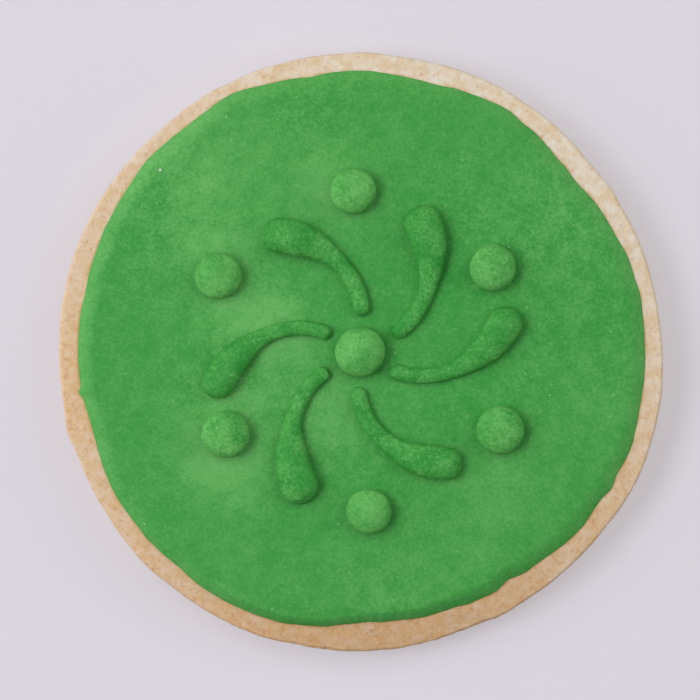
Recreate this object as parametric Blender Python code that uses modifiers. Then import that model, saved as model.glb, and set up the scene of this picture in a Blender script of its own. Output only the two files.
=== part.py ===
"""A round sugar biscuit with a poured coat of icing and a piped whirl of strokes and domes on it.

Metres, +Z up. The origin is on the table, under the middle of the biscuit. Seen from above with
+X to the right, +Y is the far side. The coat lies 0.3 mm clear of the biscuit, and the piped
pieces lie 0.3 mm clear of the coat.
"""

import math

import bmesh
import bpy
from mathutils import Vector, noise

MM = 0.001

# The biscuit, as turned before its outline is made uneven
BISCUIT_RADIUS = 45.15 * MM
BISCUIT_HEIGHT = 6.2 * MM
CROWN = 0.4 * MM
SHOULDER_WIDTH = 1.2 * MM
SHOULDER_DROP = 2.0 * MM
SHOULDER_POWER = 2.2
FOOT_WIDTH = 0.7 * MM
FOOT_HEIGHT = 1.3 * MM
CRUST_RELIEF = 0.15 * MM
CRUST_RELIEF_LENGTH = 6.0 * MM

# The coat, as turned, and the slow swells on it as (length, heading) of each
COAT_RADIUS = 42.4 * MM
COAT_THICKNESS = 1.2 * MM
COAT_EDGE_WIDTH = 1.9 * MM
COAT_LIP = 0.3 * MM
COAT_SWELL = 0.035 * MM
COAT_SWELLS = ((23.0 * MM, 0.4), (31.0 * MM, 1.9), (17.0 * MM, 2.7))

# Room between pieces that touch
GAP = 0.3 * MM

# The piped whirl: strokes that swing out like commas, a dome in the middle and a ring of domes
STROKES = 6
FIRST_HEADING = math.radians(90)
STROKE_START = 6.4 * MM
STROKE_END = 21.6 * MM
STROKE_TURN = math.radians(38)
STROKE_BEND = 1.2
LINE_HALF_WIDTH = 1.15 * MM
HEAD_HALF_WIDTH = 2.6 * MM
HEAD_FROM = 0.42
HEAD_FULL_AT = 0.95
BEAD_HEIGHT_SHARE = 0.8
CENTRE_DOME_RADIUS = 3.8 * MM
CENTRE_DOME_HEIGHT = 3.1 * MM
OUTER_DOME_RADIUS = 3.55 * MM
OUTER_DOME_HEIGHT = 2.9 * MM
OUTER_DOME_RING = 23.8 * MM
OUTER_DOME_LEAD = math.radians(62)
DOME_WAIST_SHARE = 0.2
DOME_FOOT_SHARE = 0.93

# Fineness of the meshes
ROUND_STEPS = 96
DOME_STEPS = 20
BEAD_SIDES = 10
STROKE_STATIONS = 14
CAP_STATIONS = 3

# Bulges (+) and flats (-) of the biscuit's outline: place in degrees, half width in degrees, reach
BISCUIT_WAVES = (
    (2, 12, 0.34 * MM),
    (38, 20, -0.36 * MM),
    (80, 14, -0.20 * MM),
    (163, 18, 0.45 * MM),
    (194, 8, 0.40 * MM),
    (222, 12, 0.30 * MM),
    (248, 12, 0.12 * MM),
    (288, 16, -0.55 * MM),
    (340, 14, 0.75 * MM),
)

# Tongues (+) and bays (-) of the coat's edge, in the same way
COAT_WAVES = (
    (9, 6, 0.50 * MM),
    (40, 11, -0.98 * MM),
    (60, 5, 0.45 * MM),
    (75, 7, -0.52 * MM),
    (101, 4, -0.30 * MM),
    (117, 6, 0.95 * MM),
    (127, 5, 0.30 * MM),
    (138, 9, 0.82 * MM),
    (152, 8, 0.20 * MM),
    (196, 5, -0.60 * MM),
    (211, 4, 0.38 * MM),
    (224, 4, 0.33 * MM),
    (240, 8, 0.40 * MM),
    (271, 9, -1.70 * MM),
    (291, 12, -1.42 * MM),
    (308, 8, -0.82 * MM),
    (340, 8, 0.75 * MM),
    (357, 4, 0.35 * MM),
)


def clamp(value):
    """The value, held between 0 and 1."""
    return min(max(value, 0.0), 1.0)


def stretch(waves, radius, x, y):
    """How many times a round form of this radius grows, at this heading, to its uneven outline."""
    heading = math.degrees(math.atan2(y, x))
    growth = 0.0
    for place, half_width, reach in waves:
        apart = (heading - place + 180) % 360 - 180
        growth += reach * math.exp(-((apart / half_width) ** 2))
    return 1 + growth / radius


def turned_top(radius):
    """Height of the turned biscuit's upper face: a low crown that rolls over at the shoulder."""
    crown = CROWN * (1 - (radius / BISCUIT_RADIUS) ** 2)
    over = clamp((radius - BISCUIT_RADIUS + SHOULDER_WIDTH) / SHOULDER_WIDTH)
    kept = (1 - over**SHOULDER_POWER) ** (1 / SHOULDER_POWER)
    return BISCUIT_HEIGHT + crown - SHOULDER_DROP * (1 - kept)


def biscuit_top(x, y):
    """Height of the biscuit's upper face once its outline is uneven."""
    return turned_top(math.hypot(x, y) / stretch(BISCUIT_WAVES, BISCUIT_RADIUS, x, y))


def coat_swell(x, y):
    """The slow swells of the poured coat: three plane waves, added."""
    total = 0.0
    for length, heading in COAT_SWELLS:
        along = x * math.cos(heading) + y * math.sin(heading)
        total += math.sin(math.tau * along / length)
    return COAT_SWELL * total


def coat_top(x, y):
    """Height of the coat's upper face, away from its edge."""
    return biscuit_top(x, y) + GAP + COAT_THICKNESS + coat_swell(x, y)


def unevenness(index, kind):
    """A number between -1 and 1 that makes each piped piece a little unlike the next."""
    return math.sin(2.4 * index + 1.7 * kind + 0.6)


def matt_material(name, colour, roughness):
    """A Principled material without metal or gloss."""
    made = bpy.data.materials.new(name)
    made.use_nodes = True
    shader = made.node_tree.nodes["Principled BSDF"]
    shader.inputs["Base Color"].default_value = (*colour, 1)
    shader.inputs["Roughness"].default_value = roughness
    shader.inputs["Metallic"].default_value = 0.0
    return made


def add_piece(name, mesh, collection, parent, finish):
    """Links a mesh as a named object of the cookie, shaded smooth."""
    mesh.name = name
    mesh.materials.append(finish)
    mesh.shade_smooth()
    mesh.set_sharp_from_angle(angle=math.radians(50))
    piece = bpy.data.objects.new(name, mesh)
    piece.parent = parent
    collection.objects.link(piece)
    return piece


def evaluated_mesh(guide):
    """The mesh that a guide object's curve or modifiers make. The guide is then removed."""
    bpy.context.scene.collection.objects.link(guide)
    bpy.context.view_layer.update()
    graph = bpy.context.evaluated_depsgraph_get()
    mesh = bpy.data.meshes.new_from_object(guide.evaluated_get(graph))
    bpy.data.objects.remove(guide)
    return mesh


def turned_mesh(profile, steps):
    """A solid turned about Z, from (radius, height) points that run from the middle of the top
    out and down to the middle of the underside."""
    line = bpy.data.meshes.new("profile")
    points = [(radius, 0, height) for radius, height in profile]
    line.from_pydata(points, [(i, i + 1) for i in range(len(points) - 1)], [])
    guide = bpy.data.objects.new("profile", line)
    screw = guide.modifiers.new("Turn", "SCREW")
    screw.steps = steps
    screw.render_steps = steps
    screw.use_merge_vertices = True
    screw.merge_threshold = 0.01 * MM
    return evaluated_mesh(guide)


def biscuit_mesh():
    """The baked biscuit: turned, then pushed into its uneven outline, with low relief on the
    rim and the side, which the coat leaves bare."""
    flat = BISCUIT_RADIUS - SHOULDER_WIDTH
    radii = [0, 0.5 * flat, 0.9 * flat]
    radii += [flat + SHOULDER_WIDTH * share for share in (0, 0.25, 0.5, 0.7, 0.85, 0.95, 1)]
    profile = [(radius, turned_top(radius)) for radius in radii]
    for turn in map(math.radians, (0, 25, 50, 70, 90)):
        inset = FOOT_WIDTH * (1 - math.cos(turn))
        profile.append((BISCUIT_RADIUS - inset, FOOT_HEIGHT * (1 - math.sin(turn))))
    profile += [(0.5 * BISCUIT_RADIUS, 0), (0, 0)]
    mesh = turned_mesh(profile, ROUND_STEPS)
    for vertex in mesh.vertices:
        x, y, z = vertex.co
        grown = stretch(BISCUIT_WAVES, BISCUIT_RADIUS, x, y)
        coat_edge = COAT_RADIUS * stretch(COAT_WAVES, COAT_RADIUS, x, y)
        bare = clamp((math.hypot(x, y) * grown - coat_edge) / GAP - 2)
        relief = CRUST_RELIEF * noise.noise(Vector((x, y, 2 * z)) / CRUST_RELIEF_LENGTH)
        relief *= bare * clamp(z / FOOT_HEIGHT)
        grown += relief / BISCUIT_RADIUS
        vertex.co = (x * grown, y * grown, z + relief)
    return mesh


def coat_mesh():
    """The poured coat: a thin disc with a rounded edge, laid over the biscuit's upper face."""
    inner = COAT_RADIUS - COAT_EDGE_WIDTH
    profile = [(share * inner, COAT_THICKNESS) for share in (0, 0.35, 0.65, 0.88, 1)]
    for share in (0.35, 0.65, 0.88, 1):
        height = COAT_LIP + (COAT_THICKNESS - COAT_LIP) * math.sqrt(1 - share**2)
        profile.append((inner + COAT_EDGE_WIDTH * share, height))
    profile += [(COAT_RADIUS - COAT_LIP, 0), (0.97 * inner, 0), (0.7 * inner, 0), (0, 0)]
    mesh = turned_mesh(profile, ROUND_STEPS)
    for vertex in mesh.vertices:
        x, y, z = vertex.co
        grown = stretch(COAT_WAVES, COAT_RADIUS, x, y)
        x, y = x * grown, y * grown
        swell = coat_swell(x, y) * z / COAT_THICKNESS
        vertex.co = (x, y, biscuit_top(x, y) + GAP + z + swell)
    return mesh


def dome_mesh(radius, height):
    """A round drop of icing: nearly half a ball, widest at its waist, just above its foot."""
    waist = DOME_WAIST_SHARE * height
    profile = [(0, height)]
    for turn in map(math.radians, (20, 38, 54, 68, 80, 90)):
        profile.append((radius * math.sin(turn), waist + (height - waist) * math.cos(turn)))
    profile += [(DOME_FOOT_SHARE * radius, 0), (0, 0)]
    return turned_mesh(profile, DOME_STEPS)


def stroke_stations(index):
    """Where a stroke's sections stand, as (x, y, half width): from its thin inner end, along a
    line that bends as it runs out, to its thick head. Both ends close as half rounds."""
    start = STROKE_START + 0.25 * MM * unevenness(index, 1)
    end = STROKE_END + 0.6 * MM * unevenness(index, 2)
    turn = STROKE_TURN + math.radians(3) * unevenness(index, 3)
    heading = FIRST_HEADING + math.tau * index / STROKES + math.radians(2) * unevenness(index, 6)
    line = LINE_HALF_WIDTH * (1 + 0.05 * unevenness(index, 4))
    head = HEAD_HALF_WIDTH * (1 + 0.07 * unevenness(index, 5))

    def place(share):
        radius = start + (end - start) * share
        angle = heading + turn * share**STROKE_BEND
        return Vector((radius * math.cos(angle), radius * math.sin(angle)))

    def half_width(share):
        swell = clamp((share - HEAD_FROM) / (HEAD_FULL_AT - HEAD_FROM))
        return line + (head - line) * swell * swell * (3 - 2 * swell)

    stations = []
    for step in range(STROKE_STATIONS):
        share = step / (STROKE_STATIONS - 1)
        stations.append((*place(share), half_width(share)))

    def end_cap(share, inward):
        outward = (place(share) - place(share + inward)).normalized()
        width = half_width(share)
        cap = []
        for step in range(1, CAP_STATIONS + 1):
            turn = math.radians(80 * step / CAP_STATIONS)
            spot = place(share) + outward * width * math.sin(turn)
            cap.append((*spot, width * math.cos(turn)))
        return cap

    return end_cap(0, 0.02)[::-1] + stations + end_cap(1, -0.02)


def bead_section():
    """A bead's outline, one unit in half width: a flat foot under a round back."""
    outline = bpy.data.curves.new("bead", "CURVE")
    spline = outline.splines.new("POLY")
    spline.use_cyclic_u = True
    spline.points.add(BEAD_SIDES)
    lowest = math.radians(-20)
    for step, point in enumerate(spline.points):
        turn = lowest + (math.pi - 2 * lowest) * step / BEAD_SIDES
        up = (math.sin(turn) - math.sin(lowest)) / (1 - math.sin(lowest))
        point.co = (math.cos(turn), BEAD_HEIGHT_SHARE * up, 0, 1)
    return bpy.data.objects.new("bead", outline)


def stroke_mesh(index, section):
    """One piped stroke: the bead carried along its stations. Its foot is then set on the coat."""
    path = bpy.data.curves.new("stroke", "CURVE")
    path.dimensions = "3D"
    path.twist_mode = "Z_UP"
    path.bevel_mode = "OBJECT"
    path.bevel_object = section
    path.use_fill_caps = True
    spline = path.splines.new("POLY")
    stations = stroke_stations(index)
    spline.points.add(len(stations) - 1)
    for point, (x, y, half_width) in zip(spline.points, stations):
        point.co = (x, y, 0, 1)
        point.radius = half_width
    mesh = evaluated_mesh(bpy.data.objects.new("stroke", path))
    shape = bmesh.new()
    shape.from_mesh(mesh)
    bmesh.ops.remove_doubles(shape, verts=shape.verts, dist=0.001 * MM)
    bmesh.ops.recalc_face_normals(shape, faces=shape.faces)
    for vertex in shape.verts:
        vertex.co.z += coat_top(vertex.co.x, vertex.co.y) + GAP
    shape.to_mesh(mesh)
    shape.free()
    return mesh


def centre_on_origin(middle, biscuit):
    """Moves everything sideways until the biscuit's box is centred over the origin."""
    for axis in (0, 1):
        places = [vertex.co[axis] for vertex in biscuit.data.vertices]
        middle.location[axis] = -(min(places) + max(places)) / 2


def build():
    """Makes the biscuit, its coat and the piped whirl."""
    for old in list(bpy.data.objects):
        bpy.data.objects.remove(old)
    cookie = bpy.data.collections.new("iced_cookie")
    bpy.context.scene.collection.children.link(cookie)
    middle = bpy.data.objects.new("middle", None)
    cookie.objects.link(middle)
    baked = matt_material("baked_dough", (0.62, 0.46, 0.28), 0.85)
    green = matt_material("green_icing", (0.075, 0.34, 0.075), 0.55)

    biscuit = add_piece("biscuit", biscuit_mesh(), cookie, middle, baked)
    add_piece("icing_coat", coat_mesh(), cookie, middle, green)

    def add_dome(name, radius, height, x, y):
        dome = add_piece(name, dome_mesh(radius, height), cookie, middle, green)
        dome.location = (x, y, coat_top(x, y) + GAP)

    add_dome("dome_centre", CENTRE_DOME_RADIUS, CENTRE_DOME_HEIGHT, 0, 0)
    section = bead_section()
    for index in range(STROKES):
        stroke = stroke_mesh(index, section)
        add_piece(f"stroke_{index + 1}", stroke, cookie, middle, green)
        size = 1 + 0.035 * unevenness(index, 7)
        ring = OUTER_DOME_RING + 0.3 * MM * unevenness(index, 8)
        angle = FIRST_HEADING + math.tau * index / STROKES + OUTER_DOME_LEAD
        angle += math.radians(1.2) * unevenness(index, 9)
        x = ring * math.cos(angle)
        y = ring * math.sin(angle)
        radius = OUTER_DOME_RADIUS * size
        add_dome(f"dome_{index + 1}", radius, OUTER_DOME_HEIGHT * size, x, y)
    bpy.data.objects.remove(section)
    centre_on_origin(middle, biscuit)


build()
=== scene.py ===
"""Dresses the iced biscuit: baked dough, a poured coat of icing and a piped whirl on it.

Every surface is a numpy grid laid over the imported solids, in metres, with +Z up. The biscuit's
own middle, where the whirl is centred, lies a fraction of a millimetre off the row's origin.
"""

import itertools
import logging
import math
from dataclasses import dataclass, field
from enum import Enum

import bpy
import numpy as np
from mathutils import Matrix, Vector
from numpy.typing import NDArray


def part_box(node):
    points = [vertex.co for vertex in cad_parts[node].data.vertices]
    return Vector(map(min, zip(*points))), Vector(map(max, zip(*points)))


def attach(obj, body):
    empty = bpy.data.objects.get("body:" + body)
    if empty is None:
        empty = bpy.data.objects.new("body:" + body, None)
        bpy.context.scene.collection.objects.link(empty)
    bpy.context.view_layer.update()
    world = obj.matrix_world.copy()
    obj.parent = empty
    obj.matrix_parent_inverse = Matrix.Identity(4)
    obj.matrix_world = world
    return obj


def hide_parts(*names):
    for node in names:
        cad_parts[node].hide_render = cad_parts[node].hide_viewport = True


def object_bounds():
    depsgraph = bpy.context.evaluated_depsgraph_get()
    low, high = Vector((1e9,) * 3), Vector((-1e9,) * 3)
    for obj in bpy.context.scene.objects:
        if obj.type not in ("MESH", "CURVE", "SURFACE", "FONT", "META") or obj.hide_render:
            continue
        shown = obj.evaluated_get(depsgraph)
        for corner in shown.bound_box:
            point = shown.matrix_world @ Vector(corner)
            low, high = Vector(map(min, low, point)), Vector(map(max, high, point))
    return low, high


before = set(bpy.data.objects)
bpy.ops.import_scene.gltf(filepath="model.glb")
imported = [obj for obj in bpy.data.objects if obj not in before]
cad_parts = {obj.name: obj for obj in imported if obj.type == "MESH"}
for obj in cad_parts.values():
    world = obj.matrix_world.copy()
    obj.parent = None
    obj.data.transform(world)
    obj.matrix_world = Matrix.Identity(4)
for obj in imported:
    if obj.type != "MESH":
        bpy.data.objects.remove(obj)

Array = NDArray[np.float64]
Colour = tuple[int, int, int]
Socket = bpy.types.NodeSocket

MM = 0.001
CAD_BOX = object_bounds()
LOG = logging.getLogger("iced_biscuit")

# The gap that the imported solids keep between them. The shown pieces close it.
GAP = 0.3 * MM

# How far a piped piece's foot sinks into the coat
BITE = 0.05 * MM


class Slot(Enum):
    """The names of the three materials."""

    DOUGH = "baked_dough"
    COAT = "coat_icing"
    PIPED = "piped_icing"


# Shapes that several pieces share


@dataclass(frozen=True)
class Wave:
    """One bulge or hollow of an outline, or of anything else that runs round it.

    Attributes:
        place: Heading of its middle, in degrees anticlockwise from +X.
        half_width: Half its width, in degrees.
        reach: How far it moves the outline outwards, in metres, or how much it adds to a share.
    """

    place: float
    half_width: float
    reach: float


def add_waves(waves: tuple[Wave, ...], heading: Array) -> Array:
    """Adds the waves up: reach * exp(-(apart / half width)^2) for each.

    Args:
        waves: The waves.
        heading: Angles in radians.

    Returns:
        Their sum at each angle.
    """
    total = np.zeros_like(heading)
    for wave in waves:
        apart = (np.degrees(heading) - wave.place + 180) % 360 - 180
        total += wave.reach * np.exp(-((apart / wave.half_width) ** 2))
    return total


def headings(steps: int) -> Array:
    """Angles that divide the full circle into steps, in radians."""
    return np.arange(steps) * math.tau / steps


def level_places(x: Array, y: Array) -> Array:
    """Places at height 0, as an array whose last axis is x, y, z."""
    return np.stack([x, y, np.zeros_like(x)], axis=-1)


@dataclass(frozen=True)
class Outline:
    """An uneven round outline.

    Attributes:
        radius: Its mean radius.
        waves: The bulges and hollows on it.
    """

    radius: float
    waves: tuple[Wave, ...]

    def reach(self, heading: Array) -> Array:
        """The radius at each heading."""
        return self.radius + add_waves(self.waves, heading)


@dataclass(frozen=True)
class Patch:
    """A soft round patch on the upper face, placed and sized in millimetres.

    Attributes:
        x: Its middle, measured from the biscuit's middle.
        y: The same, towards the far side.
        reach: How far it spreads.
        strength: How strongly it shows in its middle.
    """

    x: float
    y: float
    reach: float
    strength: float


def patchwork(patches: tuple[Patch, ...], x: Array, y: Array) -> Array:
    """Adds the patches up: strength * exp(-(distance / reach)^2) for each.

    Args:
        patches: The patches.
        x: Places in metres, measured from the biscuit's middle.
        y: The same, towards the far side.

    Returns:
        Their sum at each place.
    """
    total = np.zeros_like(x)
    for patch in patches:
        away = (x - patch.x * MM) ** 2 + (y - patch.y * MM) ** 2
        total += patch.strength * np.exp(-away / (patch.reach * MM) ** 2)
    return total


@dataclass(frozen=True)
class Relief:
    """One size of unevenness of the dough: lumps, or holes.

    Attributes:
        pitch: How far apart they lie.
        depth: How deep they are on the upper face.
        side_depth: How much deeper they are on the side.
        wall: From where to where a hole deepens, in pitches from its middle.
    """

    pitch: float
    depth: float
    side_depth: float = 0.0
    wall: tuple[float, float] = (0.0, 0.0)

    def depth_at(self, side: Array) -> Array:
        """Its depth where side runs from 0 on the upper face to 1 on the side."""
        return self.depth + self.side_depth * side


def smooth_step(value: Array, low: float, high: float) -> Array:
    """Rises from 0 at low to 1 at high along 3 t^2 - 2 t^3.

    Args:
        value: The numbers to map.
        low: Where the rise starts. It may lie above high, for a fall.
        high: Where the rise ends.

    Returns:
        The mapped numbers, from 0 to 1.
    """
    share = np.clip((value - low) / (high - low), 0, 1)
    return share * share * (3 - 2 * share)


class Lattice:
    """Random slopes and feature points on a cubic lattice, the same each run."""

    SIZE = 256

    def __init__(self, seed: int) -> None:
        """Draws the lattice.

        Args:
            seed: Seeds the draws.
        """
        draw = np.random.default_rng(seed)
        self.order = draw.permutation(self.SIZE)
        slopes = draw.normal(size=(self.SIZE, 3))
        self.slopes = slopes / np.linalg.norm(slopes, axis=1, keepdims=True)
        self.spots = draw.random((self.SIZE, 3))

    def entry(self, cell: Array) -> Array:
        """Index of each lattice cell's entry: its three whole numbers hashed in turn."""
        x, y, z = (cell[..., axis] % self.SIZE for axis in range(3))
        return self.order[(self.order[(self.order[x] + y) % self.SIZE] + z) % self.SIZE]

    def waves(self, points: Array, length: float) -> Array:
        """Gradient noise: at each lattice corner a random slope gives slope . offset, and the
        eight corners are blended by the fade 6 t^5 - 15 t^4 + 10 t^3.

        Args:
            points: Places, as an array whose last axis is x, y, z.
            length: The lattice's pitch.

        Returns:
            Smooth noise from about -1 to 1 at each place.
        """
        scaled = points / length
        cell = np.floor(scaled).astype(int)
        inside = scaled - cell
        fade = inside**3 * (inside * (inside * 6 - 15) + 10)
        total = np.zeros(points.shape[:-1])
        for corner in itertools.product((0, 1), repeat=3):
            offset = np.array(corner)
            weight = np.where(offset, fade, 1 - fade).prod(axis=-1)
            slope = self.slopes[self.entry(cell + offset)]
            total += weight * (slope * (inside - offset)).sum(axis=-1)
        return 1.5 * total

    def nearest(self, points: Array, length: float) -> Array:
        """Distance to the nearest of one random spot in each cell, in cells.

        Args:
            points: Places, as an array whose last axis is x, y, z.
            length: The lattice's pitch.

        Returns:
            The distance at each place, from 0 at a spot to about 1.
        """
        scaled = points / length
        cell = np.floor(scaled).astype(int)
        best = np.full(points.shape[:-1], 9.0)
        for corner in itertools.product((-1, 0, 1), repeat=3):
            near = cell + np.array(corner)
            spot = near + self.spots[self.entry(near)]
            best = np.minimum(best, ((spot - scaled) ** 2).sum(axis=-1))
        return np.sqrt(best)


def ring_mesh(name: str, rings: Array, first: Array, last: Array) -> bpy.types.Mesh:
    """A closed mesh of rings joined by quads, with a fan of triangles to a pole at each end.

    Args:
        name: The mesh's name.
        rings: Places as (ring, step round it, xyz). Seen from outside at the first pole, the
            steps run anticlockwise.
        first: The pole before the first ring.
        last: The pole after the last ring.

    Returns:
        The mesh, shaded smooth, with its faces pointing out.
    """
    count, around = rings.shape[:2]
    places = np.concatenate([first[None], rings.reshape(-1, 3), last[None]])
    ids = 1 + np.arange(count * around).reshape(count, around)
    beside = np.roll(ids, -1, axis=1)
    quads = np.stack([ids[:-1], ids[1:], beside[1:], beside[:-1]], axis=-1).reshape(-1, 4)
    top = np.stack([np.zeros(around, int), ids[0], beside[0]], axis=-1)
    bottom = np.stack([np.full(around, len(places) - 1), beside[-1], ids[-1]], axis=-1)
    mesh = bpy.data.meshes.new(name)
    mesh.from_pydata(places.tolist(), [], quads.tolist() + top.tolist() + bottom.tolist())
    mesh.update()
    mesh.shade_smooth()
    return mesh


def add_values(mesh: bpy.types.Mesh, name: str, values: Array) -> None:
    """Stores one number a vertex as a named attribute.

    Args:
        mesh: A mesh from ring_mesh.
        name: The attribute's name.
        values: A number for each place of the rings. The poles take their ring's first one.
    """
    flat = values.reshape(values.shape[0], -1)
    spread = np.concatenate([flat[0, :1], flat.ravel(), flat[-1, :1]])
    attribute = mesh.attributes.new(name, "FLOAT", "POINT")
    attribute.data.foreach_set("value", spread.astype(np.float32))


def place_piece(mesh: bpy.types.Mesh, node: str, finish: bpy.types.Material) -> None:
    """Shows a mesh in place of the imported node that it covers.

    Args:
        mesh: The finished mesh, in the row's frame.
        node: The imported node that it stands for.
        finish: Its material.
    """
    mesh.materials.append(finish)
    piece = bpy.data.objects.new(mesh.name, mesh)
    bpy.context.scene.collection.objects.link(piece)
    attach(piece, "root")
    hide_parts(node)
    LOG.info("%s: %d vertices for node %s", piece.name, len(mesh.vertices), node)


# Finishes


def linear(colour: Colour) -> tuple[float, float, float, float]:
    """A display colour of 0 to 255 as linear light, by the sRGB curve."""
    shares = (channel / 255 for channel in colour)
    light = (s / 12.92 if s <= 0.04045 else ((s + 0.055) / 1.055) ** 2.4 for s in shares)
    return (*light, 1.0)


@dataclass(frozen=True)
class Noise:
    """Fractal noise.

    Attributes:
        length: Size of its largest patches.
        detail: How many halvings it adds.
        rough: How strong each halving is.
        seed: Picks the pattern.
    """

    length: float
    detail: float
    rough: float
    seed: float


@dataclass(frozen=True)
class Mottle:
    """Soft patches cut from noise.

    Attributes:
        noise: The noise.
        low: Where in it, from 0 to 1, a patch begins.
        high: Where it is full.
        most: How strongly a full patch shows.
    """

    noise: Noise
    low: float
    high: float
    most: float = 1.0


@dataclass(frozen=True)
class Scatter:
    """Small spots, at most one in each cell.

    Attributes:
        pitch: The cells' size.
        low: The random draw, from 0 to 1, up to which a cell stays empty.
        high: The draw from which its spot shows fully.
        flat: Whether the cells lie in a plane, seen from above, or fill space.
    """

    pitch: float
    low: float
    high: float
    flat: bool = False


class Recipe:
    """A material's node tree, with one short method for each kind of step."""

    def __init__(self, name: str, roughness: float, specular: float) -> None:
        """Starts a material on Object coordinates.

        Args:
            name: The material's name.
            roughness: The shader's roughness.
            specular: The shader's specular level.
        """
        self.material = bpy.data.materials.new(name)
        self.material.use_nodes = True
        self.tree = self.material.node_tree
        self.shader = self.tree.nodes["Principled BSDF"]
        self.shader.inputs["Roughness"].default_value = roughness
        self.shader.inputs["Specular IOR Level"].default_value = specular
        self.places = self.tree.nodes.new("ShaderNodeTexCoord").outputs["Object"]

    def link(self, value: Socket | float | tuple, socket: Socket) -> None:
        """Links an output to a socket, or sets the socket's own value."""
        if isinstance(value, bpy.types.NodeSocket):
            self.tree.links.new(value, socket)
        else:
            socket.default_value = value

    def noise(self, noise: Noise) -> Socket:
        """Fractal noise, round 0.5."""
        node = self.tree.nodes.new("ShaderNodeTexNoise")
        node.noise_dimensions = "4D"
        self.link(self.places, node.inputs["Vector"])
        node.inputs["W"].default_value = noise.seed
        node.inputs["Scale"].default_value = 1 / noise.length
        node.inputs["Detail"].default_value = noise.detail
        node.inputs["Roughness"].default_value = noise.rough
        return node.outputs["Fac"]

    def mottle(self, mottle: Mottle) -> Socket:
        """Soft patches: 0 between them, and their full strength within them."""
        return self.rise(self.noise(mottle.noise), mottle.low, mottle.high, mottle.most)

    def scatter(self, scatter: Scatter, more: Socket | float = 0.0) -> tuple[Socket, Socket]:
        """Small spots.

        Args:
            scatter: How they lie.
            more: Raises each cell's draw, so that more of them have a spot.

        Returns:
            The distance to the nearest cell's spot, in cells, and how fully that spot shows.
        """
        node = self.tree.nodes.new("ShaderNodeTexVoronoi")
        node.voronoi_dimensions = "2D" if scatter.flat else "3D"
        self.link(self.places, node.inputs["Vector"])
        node.inputs["Scale"].default_value = 1 / scatter.pitch
        draw = self.plus(node.outputs["Color"], more)
        return node.outputs["Distance"], self.rise(draw, scatter.low, scatter.high)

    def attribute(self, name: str) -> Socket:
        """A number stored on the mesh."""
        node = self.tree.nodes.new("ShaderNodeAttribute")
        node.attribute_name = name
        return node.outputs["Fac"]

    def combine(self, kind: str, first: Socket | float, second: Socket | float) -> Socket:
        """Two numbers in a Math node of one kind, such as MULTIPLY."""
        node = self.tree.nodes.new("ShaderNodeMath")
        node.operation = kind
        self.link(first, node.inputs[0])
        self.link(second, node.inputs[1])
        return node.outputs[0]

    def plus(self, first: Socket | float, second: Socket | float) -> Socket:
        """The sum of two numbers."""
        return self.combine("ADD", first, second)

    def minus(self, first: Socket | float, second: Socket | float) -> Socket:
        """The first number less the second."""
        return self.combine("SUBTRACT", first, second)

    def times(self, first: Socket | float, second: Socket | float) -> Socket:
        """The product of two numbers."""
        return self.combine("MULTIPLY", first, second)

    def rise(self, value: Socket, low: float, high: float, most: float = 1.0) -> Socket:
        """Maps a number smoothly from 0 at low to most at high, held beyond both."""
        node = self.tree.nodes.new("ShaderNodeMapRange")
        node.interpolation_type = "SMOOTHSTEP"
        self.link(value, node.inputs["Value"])
        node.inputs["From Min"].default_value = low
        node.inputs["From Max"].default_value = high
        node.inputs["To Max"].default_value = most
        return node.outputs["Result"]

    def blend(self, share: Socket, first: Socket | Colour, second: Socket | Colour) -> Socket:
        """Mixes two colours.

        Args:
            share: How much of the second colour shows.
            first: The colour at 0.
            second: The colour at 1.

        Returns:
            The mixed colour.
        """
        node = self.tree.nodes.new("ShaderNodeMix")
        node.data_type = "RGBA"
        self.link(share, node.inputs[0])
        for value, socket in ((first, node.inputs[6]), (second, node.inputs[7])):
            self.link(linear(value) if isinstance(value, tuple) else value, socket)
        return node.outputs[2]

    def bump(
        self, height: Socket, depth: float, share: float = 1.0, under: Socket | None = None
    ) -> Socket:
        """Tilts the surface by a height.

        Args:
            height: The height, as a share of depth.
            depth: What a height of 1 stands for.
            share: How much of the tilt is used.
            under: The normal from another bump to add to.

        Returns:
            The tilted normal.
        """
        node = self.tree.nodes.new("ShaderNodeBump")
        node.inputs["Distance"].default_value = depth
        node.inputs["Strength"].default_value = share
        self.link(height, node.inputs["Height"])
        if under is not None:
            self.link(under, node.inputs["Normal"])
        return node.outputs["Normal"]


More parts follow.
